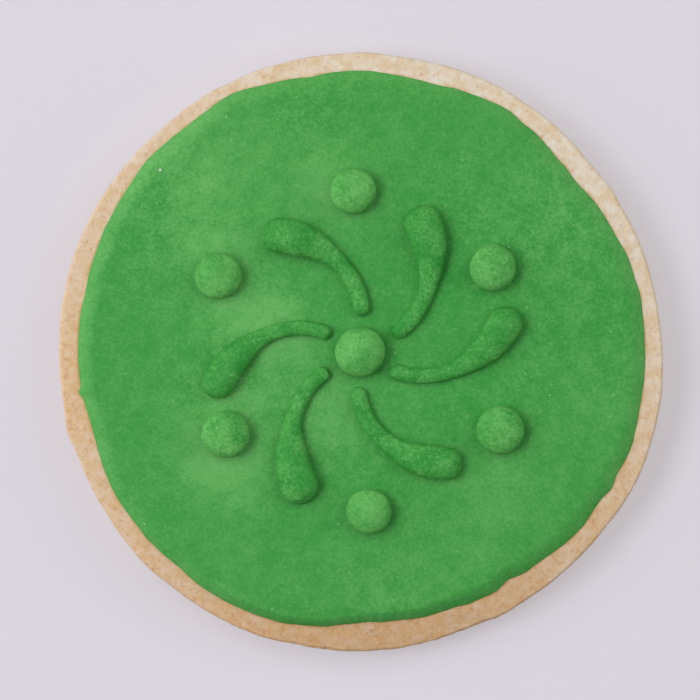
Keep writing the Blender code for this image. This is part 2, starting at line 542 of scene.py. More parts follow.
@dataclass(frozen=True)
class BakedDough:
    """Pale sugar dough: cream mottled with tan and rose, with specks and a browned foot.

    Each colour lies on those before it. After it come the patches or spots that it shows in. The
    mesh says how toasted, how brown and how greasy the dough is at each place; toast and brown also
    carry painted shade on the near side.
    """

    cream: Colour = (234, 224, 204)
    tan: Colour = (224, 201, 161)
    tan_patches: Mottle = Mottle(Noise(2.0 * MM, 3, 0.6, 1.3), 0.36, 0.64)
    golden: Colour = (223, 178, 120)
    golden_patches: Mottle = Mottle(Noise(1.6 * MM, 3, 0.7, 8.8), 0.34, 0.66, 0.4)
    golden_least: float = 0.74
    rosy: Colour = (234, 209, 180)
    rosy_patches: Mottle = Mottle(Noise(1.1 * MM, 4, 0.75, 5.2), 0.42, 0.68, 0.5)
    freckle: Colour = (204, 142, 92)
    freckles: Mottle = Mottle(Noise(0.8 * MM, 4, 0.8, 4.1), 0.5, 0.65)
    freckle_least: float = 0.22
    freckle_toasted_and_shaded: float = 0.5
    crumb: Colour = (238, 222, 197)
    crumbs: Mottle = Mottle(Noise(0.3 * MM, 3, 0.8, 7.7), 0.48, 0.72, 0.35)
    speck: Colour = (206, 146, 96)
    specks: Scatter = Scatter(1.3 * MM, 0.45, 0.6)
    speck_size: Noise = Noise(0.35 * MM, 2, 0.7, 2.2)
    speck_strength: float = 0.35
    # Painted shade: small dark dots that stand for the shade in pinholes, which the mesh does not
    # shape.
    pinhole_shade: Colour = (190, 132, 80)
    pinhole_shade_spots: Scatter = Scatter(0.9 * MM, 0.72, 0.8)
    pinhole_shade_strength: float = 0.5
    # Brown of the baked foot, also used as painted shade on the near side.
    brown_and_shade: Colour = (160, 104, 58)
    grease: Colour = (205, 152, 86)
    grain: Noise = Noise(0.35 * MM, 4, 0.75, 9.4)
    grain_depth: float = 0.11 * MM

    def material(self) -> bpy.types.Material:
        """Mixes the dough's colours and gives it its grain.

        Returns:
            The material.
        """
        make = Recipe("baked_dough", roughness=0.9, specular=0.15)
        # Golden colour and freckles follow the mesh's toast, which is partly real toasting and partly
        # painted shade on the near side.
        toast_and_shade = make.attribute("toast_and_shade")
        base = make.blend(make.mottle(self.tan_patches), self.cream, self.tan)
        golden = make.plus(make.mottle(self.golden_patches), self.golden_least)
        base = make.blend(make.times(toast_and_shade, golden), base, self.golden)
        base = make.blend(make.mottle(self.rosy_patches), base, self.rosy)
        toasted_and_shaded = make.plus(make.times(toast_and_shade, self.freckle_toasted_and_shaded), self.freckle_least)
        base = make.blend(make.times(make.mottle(self.freckles), toasted_and_shaded), base, self.freckle)
        base = make.blend(make.mottle(self.crumbs), base, self.crumb)
        distance, chosen = make.scatter(self.specks)
        inside = make.minus(make.times(make.noise(self.speck_size), 0.5), distance)
        speck = make.times(make.rise(inside, 0.0, 0.12), chosen)
        base = make.blend(make.times(speck, self.speck_strength), base, self.speck)
        # Painted shade of pinholes.
        distance, chosen = make.scatter(self.pinhole_shade_spots)
        pinhole_shade = make.times(make.rise(distance, 0.16, 0.06), chosen)
        base = make.blend(make.times(pinhole_shade, self.pinhole_shade_strength), base, self.pinhole_shade)
        # Real brown towards the foot, and painted shade on the near side.
        base = make.blend(make.attribute("bake_and_shade"), base, self.brown_and_shade)
        base = make.blend(make.attribute("grease"), base, self.grease)
        make.link(base, make.shader.inputs["Base Color"])
        make.link(make.bump(make.noise(self.grain), self.grain_depth), make.shader.inputs["Normal"])
        return make.material


@dataclass(frozen=True)
class DriedIcing:
    """Dry sugar icing: deep green under a patchy, speckled, paler bloom, with sugar grains.

    The mesh says how much bloom lies where (on the coat's rim partly painted light and shade), how
    strongly it is speckled, and where sugar grains gather.

    Attributes:
        name: The material's name.
        deep: The colour without bloom.
        bloom: The colour under the thickest bloom.
        sugar: The colour of a sugar grain.
        cover: How much bloom lies everywhere.
        roughness: The surface's roughness.
        flecks: Fine flecks that lighten and darken the bloom.
        fleck: How strong they are.
        clouds: Wider clouds that do the same.
        cloud: How strong they are.
        pale: Paler flecks.
        grains: How the sugar grains lie.
        grain_edge: Makes a grain's edge ragged.
        grain_width: How wide a grain is, in cells, and how much wider where they gather.
        grain_white: How much it shows, and how much more where they gather.
        grain_height: How far a grain stands out.
        skin: The grain of the icing's skin.
        skin_depth: How deep that grain is.
    """

    name: str
    deep: Colour = (51, 150, 57)
    bloom: Colour = (109, 184, 98)
    sugar: Colour = (222, 236, 214)
    cover: float = 0.26
    roughness: float = 0.6
    flecks: Noise = Noise(0.55 * MM, 4, 0.85, 6.1)
    fleck: float = 2.4
    clouds: Noise = Noise(2.4 * MM, 3, 0.6, 2.5)
    cloud: float = 1.2
    pale: Mottle = Mottle(Noise(0.7 * MM, 2, 0.6, 11.2), 0.60, 0.76, 0.5)
    grains: Scatter = Scatter(3.2 * MM, 0.80, 0.92, flat=True)
    grain_edge: Noise = Noise(0.2 * MM, 2, 0.6, 8.3)
    grain_width: tuple[float, float] = (0.09, 0.08)
    grain_white: tuple[float, float] = (0.34, 0.6)
    grain_height: float = 0.06 * MM
    skin: Noise = Noise(0.35 * MM, 4, 0.8, 3.3)
    skin_depth: float = 0.07 * MM

    def material(self) -> bpy.types.Material:
        """Mixes the icing's colours and gives it its skin.

        Returns:
            The material.
        """
        make = Recipe(self.name, self.roughness, specular=0.2)
        flecks = make.times(make.minus(make.noise(self.flecks), 0.5), self.fleck)
        clouds = make.times(make.minus(make.noise(self.clouds), 0.5), self.cloud)
        mottle = make.plus(make.plus(flecks, clouds), make.mottle(self.pale))
        mottle = make.times(mottle, make.attribute("speckle"))
        share = make.plus(make.times(make.attribute("bloom"), 0.5), self.cover)
        share = make.rise(make.plus(share, mottle), -0.1, 1.1)
        base = make.blend(share, self.deep, self.bloom)
        sugared = make.attribute("sugared")
        distance, chosen = make.scatter(self.grains, sugared)
        least, more = self.grain_width
        width = make.plus(make.times(sugared, more), least)
        inside = make.minus(make.times(make.noise(self.grain_edge), width), distance)
        grain = make.times(make.rise(inside, -0.01, 0.02), chosen)
        least, more = self.grain_white
        white = make.plus(make.times(sugared, more), least)
        base = make.blend(make.times(grain, white), base, self.sugar)
        make.link(base, make.shader.inputs["Base Color"])
        skin = make.bump(make.noise(self.skin), self.skin_depth)
        make.link(make.bump(grain, self.grain_height, 0.8, skin), make.shader.inputs["Normal"])
        return make.material


# The pieces


@dataclass(frozen=True)
class Profile:
    """A line from an axis outwards, as arrays of the same length.

    Attributes:
        radius: Distance from the axis.
        height: Height.
        outward: The radial share of the surface's normal.
        upward: The vertical share of the surface's normal.
    """

    radius: Array
    height: Array
    outward: Array
    upward: Array

    @classmethod
    def through(cls, radius: Array, height: Array) -> "Profile":
        """A profile whose normals are its own slopes turned by a quarter.

        Args:
            radius: Distances from the axis, running outwards over the top.
            height: Heights.

        Returns:
            The profile.
        """
        run, rise = np.gradient(radius), np.gradient(height)
        length = np.hypot(run, rise)
        return cls(radius, height, -rise / length, run / length)


@dataclass
class Biscuit:
    """The baked biscuit: a turned form, pushed into its uneven outline, with crumb relief."""

    middle: Vector
    outline: Outline = Outline(
        45.15 * MM,
        (
            Wave(33.4, 2.8, 0.22 * MM),
            Wave(39.0, 12.4, -0.45 * MM),
            Wave(56.8, 2.7, -0.17 * MM),
            Wave(83.0, 20.6, -0.38 * MM),
            Wave(89.1, 2.8, 0.17 * MM),
            Wave(106.0, 3.0, -0.10 * MM),
            Wave(115.5, 2.3, -0.21 * MM),
            Wave(134.9, 16.8, -0.44 * MM),
            Wave(150.2, 21.2, 0.27 * MM),
            Wave(195.0, 3.3, 0.39 * MM),
            Wave(223.3, 5.9, 0.28 * MM),
            Wave(246.9, 13.8, 0.12 * MM),
            Wave(260.4, 6.0, -0.20 * MM),
            Wave(291.0, 16.3, -0.51 * MM),
            Wave(298.6, 2.7, 0.24 * MM),
            Wave(335.1, 9.7, 0.65 * MM),
            Wave(351.5, 11.5, 0.57 * MM),
        ),
    )
    height: float = 6.2 * MM
    crown: float = 0.4 * MM
    shoulder_width: float = 0.45 * MM
    shoulder_drop: float = 0.7 * MM
    shoulder_power: float = 2.2
    draft: float = 0.05 * MM
    foot_width: float = 0.25 * MM
    foot_height: float = 0.6 * MM
    steps_round: int = 960
    bare_from: float = 39.5 * MM
    rolled: tuple[Wave, ...] = (Wave(275, 45, 1.8 * MM),)
    rolled_from: float = 38.5 * MM
    roll_power: float = 1.3
    side_below: tuple[float, float] = (6.0 * MM, 4.2 * MM)
    crumb: tuple[Relief, ...] = (
        Relief(4.5 * MM, 0.07 * MM, 0.08 * MM),
        Relief(1.3 * MM, 0.035 * MM, 0.06 * MM),
        Relief(0.6 * MM, 0.02 * MM, 0.03 * MM),
    )
    pits: Relief = Relief(1.7 * MM, 0.08 * MM, 0.12 * MM, wall=(0.26, 0.08))
    dips: Relief = Relief(5.0 * MM, 0.10 * MM)
    pores: Relief = Relief(3.0 * MM, 0.15 * MM, wall=(0.45, 0.1))
    most_outward: float = 0.08 * MM
    blotch: float = 9 * MM
    # Painted shade: a brown darkening of the near side, round heading 275, which faces away from the
    # lamps.
    near_side_shade: tuple[Wave, ...] = (Wave(275, 50, 0.17),)
    # Toast by heading: real toasting, plus painted shade on the near side round heading 265 and on the
    # right, which face away from the lamps.
    toasted_and_shaded: tuple[Wave, ...] = (
        Wave(150, 50, 0.45),
        Wave(200, 40, 0.30),
        Wave(265, 50, 0.85),
        Wave(330, 40, 0.40),
    )
    toasted_below: tuple[float, float] = (5.6 * MM, 3.6 * MM)
    toasted_side: float = 0.2
    foot_below: tuple[float, float] = (2.4 * MM, 0.1 * MM)
    grease_place: float = 0.04 * MM
    grease_half_width: float = 0.20 * MM
    grain: Lattice = field(default_factory=lambda: Lattice(11))

    def turned_top(self, radius: Array) -> Array:
        """Height of the turned upper face: crown * (1 - (r / R)^2), less a superellipse's fall
        over the shoulder."""
        full = self.outline.radius
        over = np.clip((radius - full + self.draft + self.shoulder_width) / self.shoulder_width, 0, 1)
        kept = (1 - over**self.shoulder_power) ** (1 / self.shoulder_power)
        crown = self.crown * (1 - (radius / full) ** 2)
        return self.height + crown - self.shoulder_drop * (1 - kept)

    def roll(self, radius: Array, heading: Array) -> Array:
        """How far the rim rolls down on one side: reach * (share of the rim's width)^power."""
        share = np.clip((radius - self.rolled_from) / (self.outline.radius - self.rolled_from), 0, 1)
        return add_waves(self.rolled, heading) * share**self.roll_power

    def top(self, x: Array, y: Array) -> Array:
        """Height of the upper face over places measured from the biscuit's middle."""
        heading = np.arctan2(y, x)
        radius = np.hypot(x, y) * self.outline.radius / self.outline.reach(heading)
        return self.turned_top(radius) - self.roll(radius, heading)

    def profile(self) -> Profile:
        """The turned line: wide steps under the coat, then fine ones over the bare rim, the
        shoulder, the side, which leans out a little towards the quarter round of its foot, and
        wider ones underneath.

        Returns:
            The line, from near the middle of the top to near the middle of the underside.
        """
        full = self.outline.radius
        flat = full - self.draft - self.shoulder_width
        turn = np.linspace(0, math.pi / 2, 20)[1:]
        radius = [np.linspace(0.1, 1, 6)[:-1] * self.bare_from]
        radius += [np.linspace(self.bare_from, flat, 16), flat + self.shoulder_width * np.sin(turn)]
        height = [self.turned_top(part) for part in radius]
        down = np.linspace(0, 1, 13)[1:-1]
        radius.append(full - self.draft * (1 - down))
        height.append(self.foot_height + (height[-1][-1] - self.foot_height) * (1 - down))
        turn = np.linspace(0, math.pi / 2, 10)
        radius.append(full - self.foot_width * (1 - np.cos(turn)))
        height.append(self.foot_height * (1 - np.sin(turn)))
        under = np.linspace(0.97, 0.03, 28)
        radius.append(full * under)
        height.append(np.zeros_like(under))
        return Profile.through(np.concatenate(radius), np.concatenate(height))

    def relief(self, places: Array, bare: Array) -> Array:
        """How far the crumb stands out: lumps of three sizes, less pits round random spots.

        Args:
            places: The smooth surface's places, as (ring, step, xyz).
            bare: 1 where the dough shows and 0 under the coat.

        Returns:
            The distance to move each place along its normal.
        """
        side = smooth_step(places[..., 2], *self.side_below)
        out = np.zeros_like(side)
        for index, lumps in enumerate(self.crumb):
            out += lumps.depth_at(side) * self.grain.waves(places + index, lumps.pitch)
        return bare * (out - self.pits.depth_at(side) * self.holes(places, self.pits))

    def holes(self, places: Array, kind: Relief) -> Array:
        """How deep each place lies in a hole: 1 at its floor and 0 outside its wall."""
        return smooth_step(self.grain.nearest(places, kind.pitch), *kind.wall)

    def underside(self, places: Array) -> Array:
        """How far the underside is hollowed upwards, by pores and by dips of a few millimetres."""
        dips = self.dips.depth * np.clip(self.grain.waves(places + 4, self.dips.pitch), 0, None)
        pores = self.pores.depth * self.holes(places + 5, self.pores)
        return (dips + pores) * (places[..., 2] < 0.01 * MM)

    def dress(
        self, mesh: bpy.types.Mesh, height: Array, heading: Array, beyond: Array, patch: Array
    ) -> None:
        """Says where the dough is toasted, baked brown, and greasy along the coat, and where painted
        shade darkens the near side.

        Args:
            mesh: The biscuit's mesh.
            height: Each ring's height in the turned form, as a column.
            heading: The heading of each step round it.
            beyond: How far outside the coat's edge each place lies.
            patch: Wide random patches, from about -1 to 1.
        """
        # Toast by heading, partly painted shade on the near side, plus real toasting down the side.
        toast_and_shade = add_waves(self.toasted_and_shaded, heading) * (1 + 0.5 * patch)
        toast_and_shade += self.toasted_side * smooth_step(height, *self.toasted_below)
        add_values(mesh, "toast_and_shade", np.clip(toast_and_shade, 0, 0.95))
        # Real browning towards the foot, plus painted shade on the near side.
        bake_and_shade = smooth_step(height, *self.foot_below) * (0.8 + 0.4 * patch)
        add_values(mesh, "bake_and_shade", np.clip(bake_and_shade + add_waves(self.near_side_shade, heading), 0, 0.9))
        away = np.abs(beyond - self.grease_place)
        grease = smooth_step(away, self.grease_half_width, 0.2 * self.grease_half_width)
        grease *= (height > self.foot_height) * (0.6 + 0.4 * patch)
        add_values(mesh, "grease", np.clip(grease, 0, 1))

    def build(self, coat_edge: Outline, finish: bpy.types.Material) -> None:
        """Makes the biscuit: the turned line, stretched into the outline, its rim rolled down on one
        side, with the crumb's relief moved out along the line's normals.

        Args:
            coat_edge: The coat's outline, outside which the dough is bare.
            finish: The dough's material.
        """
        heading = headings(self.steps_round)
        line = self.profile()
        level = line.height[:, None]
        reach = self.outline.reach(heading)
        radius = line.radius[:, None] * reach / self.outline.radius
        flat = np.stack([np.cos(heading), np.sin(heading)], axis=-1)
        places = np.empty((*radius.shape, 3))
        places[..., :2] = radius[..., None] * flat
        places[..., 2] = level - self.roll(line.radius[:, None], heading[None]) * level / self.height
        beyond = radius - coat_edge.reach(heading)
        bare = smooth_step(beyond, -0.2 * MM, 0.3 * MM) * smooth_step(places[..., 2], 0, 1 * MM)
        out = self.relief(places, bare)
        patch = self.grain.waves(places + 3, self.blotch)
        hollow = self.underside(places)
        radius = np.minimum(radius + out * line.outward[:, None], reach + self.most_outward)
        places[..., :2] = radius[..., None] * flat + np.array(self.middle.xy)
        places[..., :2] = np.clip(places[..., :2], CAD_BOX[0][:2], CAD_BOX[1][:2])
        places[..., 2] += out * line.upward[:, None] + hollow
        first = np.array([*self.middle.xy, self.height + self.crown])
        mesh = ring_mesh("dough", places, first, np.array([*self.middle.xy, 0.0]))
        self.dress(mesh, level, heading, beyond, patch)
        place_piece(mesh, "biscuit", finish)


@dataclass
class IcingCoat:
    """The poured coat: a thin disc with a rounded edge that lies on the biscuit."""

    biscuit: Biscuit
    outline: Outline = Outline(
        42.26 * MM,
        (
            Wave(15.4, 3.3, -0.48 * MM),
            Wave(16.9, 7.3, 1.26 * MM),
            Wave(20.6, 8.2, -0.73 * MM),
            Wave(40.6, 8.3, -1.10 * MM),
            Wave(41.7, 2.4, 0.23 * MM),
            Wave(54.5, 2.0, -0.18 * MM),
            Wave(59.2, 4.2, 0.28 * MM),
            Wave(74.0, 2.2, -0.15 * MM),
            Wave(77.6, 9.0, -0.53 * MM),
            Wave(95.4, 2.5, -0.10 * MM),
            Wave(100.4, 2.9, -0.38 * MM),
            Wave(116.5, 6.1, 0.81 * MM),
            Wave(125.3, 1.9, 0.06 * MM),
            Wave(135.9, 16.3, 0.53 * MM),
            Wave(137.9, 3.1, 0.18 * MM),
            Wave(154.5, 1.6, 0.13 * MM),
            Wave(167.7, 2.0, -0.21 * MM),
            Wave(188.3, 0.9, 0.50 * MM),
            Wave(196.1, 7.3, -0.50 * MM),
            Wave(210.6, 5.4, 0.20 * MM),
            Wave(220.4, 2.0, 0.11 * MM),
            Wave(229.9, 3.2, -0.25 * MM),
            Wave(240.0, 16.4, 0.25 * MM),
            Wave(253.7, 1.9, 0.10 * MM),
            Wave(262.7, 1.8, 0.17 * MM),
            Wave(273.3, 13.0, -1.77 * MM),
            Wave(274.8, 1.6, 0.13 * MM),
            Wave(292.4, 8.6, -1.23 * MM),
            Wave(293.2, 2.1, 0.31 * MM),
            Wave(303.0, 2.6, -0.74 * MM),
            Wave(308.7, 7.3, -0.86 * MM),
            Wave(321.5, 3.5, 0.18 * MM),
            Wave(331.6, 2.0, 0.52 * MM),
            Wave(340.0, 5.9, 0.56 * MM),
            Wave(355.1, 17.1, 0.51 * MM),
        ),
    )
    thickness: float = 1.2 * MM
    fall: float = 0.35 * MM
    fall_from: float = 22 * MM
    edge_width: float = 2.4 * MM
    edge_power: float = 1.7
    lip: float = 0.05 * MM
    swell: float = 0.035 * MM
    swells: tuple[tuple[float, float], ...] = ((23.0 * MM, 0.4), (31.0 * MM, 1.9), (17.0 * MM, 2.7))
    creep: float = 0.04 * MM
    creep_pitches: tuple[float, float] = (2.5 * MM, 1.1 * MM)
    ripple_depth: float = 0.03 * MM
    ripple_pitch: float = 5 * MM
    sunk: float = 0.1 * MM
    blunt: tuple[Wave, ...] = (Wave(255, 30, 0.8),)
    rim_bloom_mean: float = 0.3
    # Bloom along the coat's rim: the mean is real bloom; the waves by heading are painted light on the
    # left and right, and painted shade on the near side.
    rim_bloom_and_painted_light: tuple[Wave, ...] = (
        Wave(150, 70, 0.35),
        Wave(285, 35, -0.5),
        Wave(350, 40, 0.15),
    )
    bloom: tuple[Patch, ...] = (
        Patch(-17.0, 5.5, 6.0, 0.9),
        Patch(-20.7, -15.5, 6.5, 1.2),
        Patch(-19.0, -7.0, 4.5, 0.6),
        Patch(-11.0, 2.0, 5.0, 0.7),
        Patch(-4.0, 24.0, 6.0, 0.7),
        Patch(-22.5, 16.0, 6.5, 0.6),
        Patch(-4.5, -9.0, 6.0, 0.7),
        Patch(19.5, -19.5, 8.0, 0.4),
        Patch(-25.0, 27.5, 7.0, 0.6),
        Patch(-13.0, 30.0, 7.0, 0.2),
        Patch(30.0, 21.0, 8.0, 0.3),
        Patch(4.0, -36.0, 8.0, 0.35),
        Patch(36.0, -8.0, 7.0, 0.25),
        Patch(11.0, 14.0, 6.0, -0.25),
        Patch(-27.0, -27.0, 6.0, -0.1),
        Patch(-17.0, -33.0, 7.0, 0.15),
        Patch(19.0, -32.0, 8.0, 0.2),
        Patch(16.0, -10.0, 6.0, -0.2),
    )
    speckled_least: float = 0.55
    speckled: tuple[Patch, ...] = (
        Patch(-29.0, 25.0, 8.0, 0.7),
        Patch(-30.0, 15.0, 7.0, 0.5),
        Patch(-20.5, -4.0, 6.0, 0.9),
        Patch(-14.0, 7.0, 6.0, 0.5),
        Patch(17.0, 17.0, 9.0, 0.6),
        Patch(31.0, 19.0, 9.0, 0.7),
        Patch(36.0, 3.0, 8.0, 0.6),
        Patch(19.0, -6.0, 8.0, 0.4),
        Patch(-6.0, 37.0, 7.0, 0.5),
        Patch(-9.0, -12.0, 7.0, 0.4),
        Patch(3.0, -20.0, 6.0, 0.3),
        Patch(3.0, -37.0, 6.0, 0.3),
    )
    sugared: tuple[Patch, ...] = (
        Patch(-31.0, 28.5, 4.0, 0.75),
        Patch(24.5, -30.5, 3.0, 0.35),
    )
    steps_round: int = 720
    ripple: Lattice = field(default_factory=lambda: Lattice(23))

    @property
    def inner(self) -> float:
        """Radius at which the edge begins, in the turned form."""
        return self.outline.radius - self.edge_width

    def slow_swell(self, x: Array, y: Array) -> Array:
        """The slow swells of the poured coat: three plane waves, added."""
        total = np.zeros_like(x)
        for length, heading in self.swells:
            total += np.sin(math.tau * (x * math.cos(heading) + y * math.sin(heading)) / length)
        return self.swell * total

    def cover(self, radius: Array) -> Array:
        """The icing's height over the dough: full in the middle, with a slow fall outwards and
        then the edge, which drops along (share of the edge's width)^power.

        Args:
            radius: Distance from the biscuit's middle, in the turned form.

        Returns:
            The height at each distance.
        """
        full = self.thickness + GAP - self.fall * smooth_step(radius, self.fall_from, self.inner)
        over = np.clip((radius - self.inner) / self.edge_width, 0, 1)
        return full - (full - self.lip) * over**self.edge_power

    def top(self, x: Array, y: Array) -> Array:
        """Height of the upper face away from the edge, at places from the biscuit's middle."""
        return self.biscuit.top(x, y) + self.cover(np.hypot(x, y)) + self.slow_swell(x, y)

    def rings(self, heading: Array) -> tuple[Array, Array]:
        """The turned form: rings out from the middle, over the rounded edge, which is blunter on
        one side, and back beneath.

        Args:
            heading: The heading of each step round it.

        Returns:
            Each ring's radius, and the height over the dough as (ring, step).
        """
        full = self.outline.radius
        over = np.linspace(0, 1, 22)[1:] ** 0.8
        edge = self.inner + self.edge_width * over
        above = np.concatenate([np.linspace(0.02, 1, 56) * self.inner, edge])
        tucked = full - np.array([0.05, 0.3, 0.8]) * MM
        beneath = np.append(tucked, self.inner * np.array([1.0, 0.8, 0.5, 0.2]))
        blunt = 1 + add_waves(self.blunt, heading)
        height = self.cover(full - (full - above[:, None]) * blunt)
        sunk = np.full((len(beneath), len(heading)), -self.sunk)
        sunk[0] /= 2
        return np.append(above, beneath), np.concatenate([height, sunk])

    def dress(self, mesh: bpy.types.Mesh, radius: Array, heading: Array, x: Array, y: Array) -> None:
        """Says how much bloom lies where, with painted light and shade along the rim, how strongly it
        is speckled, and where sugar gathers.

        Args:
            mesh: The coat's mesh.
            radius: Each ring's radius in the turned form.
            heading: The heading of each step round it.
            x: Places on it, measured from the biscuit's middle.
            y: The same, towards the far side.
        """
        uneven = 1 + 0.5 * self.ripple.waves(level_places(x, y), 3 * MM)
        bloom = patchwork(self.bloom, x, y) * uneven
        # Along the rim: bloom, plus painted light on the left and right and painted shade on the near
        # side.
        rim_bloom_and_painted_light = self.rim_bloom_mean + add_waves(self.rim_bloom_and_painted_light, heading)
        rim = smooth_step(radius[:, None], self.inner - 0.5 * MM, self.outline.radius - 0.2 * MM)
        add_values(mesh, "bloom", bloom + rim_bloom_and_painted_light * rim)
        add_values(mesh, "speckle", self.speckled_least + 0.5 * patchwork(self.speckled, x, y))
        add_values(mesh, "sugared", patchwork(self.sugared, x, y))

    def build(self, finish: bpy.types.Material) -> None:
        """Makes the coat from its turned form, stretched into its outline and laid on the dough.

        Args:
            finish: The icing's material.
        """
        heading = headings(self.steps_round)
        radius, height = self.rings(heading)
        rim = level_places(np.cos(heading), np.sin(heading)) * self.outline.radius
        creep = self.creep * sum(self.ripple.waves(rim, pitch) for pitch in self.creep_pitches)
        spread = radius[:, None] * (self.outline.reach(heading) + creep) / self.outline.radius
        x, y = spread * np.cos(heading), spread * np.sin(heading)
        ripple = self.ripple_depth * self.ripple.waves(level_places(x, y), self.ripple_pitch)
        share = np.clip(height / self.thickness, 0, 1)
        z = self.biscuit.top(x, y) + height + share * (self.slow_swell(x, y) + ripple)
        middle = self.biscuit.middle.xy
        places = np.stack([x + middle.x, y + middle.y, z], axis=-1)
        top = float(self.top(np.zeros(1), np.zeros(1))[0])
        foot = self.biscuit.height + self.biscuit.crown - self.sunk
        mesh = ring_mesh("coat", places, np.array([*middle, top]), np.array([*middle, foot]))
        self.dress(mesh, radius, heading, x, y)
        place_piece(mesh, "icing_coat", finish)


PIPED_BLOOM = Lattice(53)


def lay_piped(node: str, places: Array, bloom: float, finish: bpy.types.Material) -> None:
    """Makes a piped piece from its rings, with its bloom and its speckles.

    Args:
        node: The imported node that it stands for.
        places: Its rings, as for ring_mesh.
        bloom: How much bloom lies on it on average.
        finish: The icing's material.
    """
    mesh = ring_mesh(node, places, places[0].mean(axis=0), places[-1].mean(axis=0))
    add_values(mesh, "bloom", bloom + 0.4 * PIPED_BLOOM.waves(places, 3 * MM))
    add_values(mesh, "speckle", 0.8 + 0.3 * PIPED_BLOOM.waves(places + 1, 4 * MM))
    place_piece(mesh, node, finish)


@dataclass
class Dome:
    """A round drop of piped icing: nearly half a ball, with the soft nub that the tip left."""

    node: str
    x: float
    y: float
    radius: float
    height: float
    index: int
    waist_share: float = 0.3
    tuck: float = 0.62
    nub_height: float = 0.10 * MM
    nub_radius: float = 0.7 * MM
    nub_lean: float = 0.6 * MM
    bloom: float = 0.72
    steps_round: int = 96

    def build(self, coat: IcingCoat, finish: bpy.types.Material) -> None:
        """Makes the drop: a quarter ellipse turned about its middle, slightly uneven all round and
        flattened about the nub, and drawn in below the waist by sqrt(1 - (tuck * down)^2).

        Args:
            coat: The coat that it sits on.
            finish: The icing's material.
        """
        waist = self.waist_share * self.height
        turn = np.linspace(0, math.pi / 2, 34)[1:]
        radius = self.radius * np.sin(turn)
        height = waist + (self.height - waist) * np.cos(turn)
        down = np.linspace(0, 1, 9)[1:]
        radius = np.append(radius, self.radius * np.sqrt(1 - (self.tuck * down) ** 2))
        height = np.append(height, waist - (waist + GAP + BITE) * down)[:, None]
        heading = headings(self.steps_round)
        uneven = 1 + 0.012 * np.sin(2 * heading + self.index)
        uneven += 0.006 * np.sin(3 * heading + 2 * self.index)
        spread = radius[:, None] * uneven / uneven.max()
        x, y = spread * np.cos(heading), spread * np.sin(heading)
        lean = 1.9 * self.index
        away = np.hypot(x - self.nub_lean * math.cos(lean), y - self.nub_lean * math.sin(lean))
        nub = np.exp(-((away / self.nub_radius) ** 2))
        foot = float(coat.top(np.array(self.x), np.array(self.y))) + GAP
        flattened = smooth_step(height, waist, self.height)
        z = foot + height - self.nub_height * (1 - nub) * flattened
        middle = coat.biscuit.middle
        places = np.stack([x + self.x + middle.x, y + self.y + middle.y, z], axis=-1)
        lay_piped(self.node, places, self.bloom, finish)


@dataclass
class Stroke:
    """One piped comma: a line that bends as it runs out and thickens to a round head."""

    node: str
    index: int
    heading: float
    start: float
    end: float
    turn: float
    line: float
    head: float
    bend: float = 1.2
    head_from: float = 0.42
    head_full_at: float = 0.95
    height_share: float = 0.88
    tuck: float = math.radians(32)
    bloom: float = 0.12
    wobble: float = 0.06
    wobble_pitch: float = 3.5 * MM
    foot_from: float = 0.35 * MM
    steps_along: int = 110
    steps_over: int = 38
    steps_under: int = 6
    hand: Lattice = field(default_factory=lambda: Lattice(37))

    def place(self, share: Array) -> Array:
        """Places on the middle line: the radius grows evenly and the angle as share^bend."""
        radius = self.start + (self.end - self.start) * share
        angle = self.heading + self.turn * np.abs(share) ** self.bend
        return np.stack([radius * np.cos(angle), radius * np.sin(angle)], axis=-1)

    def half_width(self, share: Array) -> Array:
        """Half the line's width: thin, then a smooth rise to the head."""
        swell = smooth_step(share, self.head_from, self.head_full_at)
        return self.line + (self.head - self.line) * swell

    def stations(self) -> tuple[Array, Array]:
        """The middle line with a half round past each end.

        Returns:
            The stations' places, and the half width at each.
        """
        share = np.linspace(0, 1, self.steps_along)
        line, width = self.place(share), self.half_width(share)
        turn = np.linspace(0, math.pi / 2, 16)[1:-1]
        caps = []
        for end, inside in ((0, 1), (-1, -2)):
            outward = line[end] - line[inside]
            outward = outward / np.linalg.norm(outward)
            round_end = width[end] * np.sin(turn)[:, None] * outward
            caps.append((line[end] + round_end, width[end] * np.cos(turn)))
        places = np.concatenate([caps[0][0][::-1], line, caps[1][0]])
        widths = np.concatenate([caps[0][1][::-1], width, caps[1][1]])
        return places, widths

    def build(self, coat: IcingCoat, finish: bpy.types.Material) -> None:
        """Makes the stroke: a section carried along the stations, with its foot on the coat. Its back
        is an arc that runs past the half circle by tuck on each side.

        Args:
            coat: The coat that it sits on.
            finish: The icing's material.
        """
        line, width = self.stations()
        places = level_places(*line.T) + self.index
        width *= 1 + self.wobble * self.hand.waves(places, self.wobble_pitch)
        along = np.gradient(line, axis=0)
        along /= np.linalg.norm(along, axis=1, keepdims=True)
        across = np.stack([-along[:, 1], along[:, 0]], axis=-1)
        sweep = np.linspace(-self.tuck, math.pi + self.tuck, self.steps_over)
        low = math.sin(-self.tuck)
        side = np.cos(sweep)
        up = (np.sin(sweep) - low) / (1 - low)
        floor = np.linspace(side[-1], side[0], self.steps_under + 2)[1:-1]
        side = np.append(side, floor)
        up = np.append(up, np.zeros_like(floor))
        spread = width[:, None] * side
        flat = line[:, None, :] + spread[..., None] * across[:, None, :]
        x, y = flat[..., 0], flat[..., 1]
        rise = self.height_share * width[:, None] * up
        z = coat.top(x, y) + GAP + rise - (GAP + BITE) * smooth_step(rise, self.foot_from, 0.0)
        middle = coat.biscuit.middle
        places = np.stack([x + middle.x, y + middle.y, z], axis=-1)
        lay_piped(self.node, places[:, ::-1], self.bloom, finish)


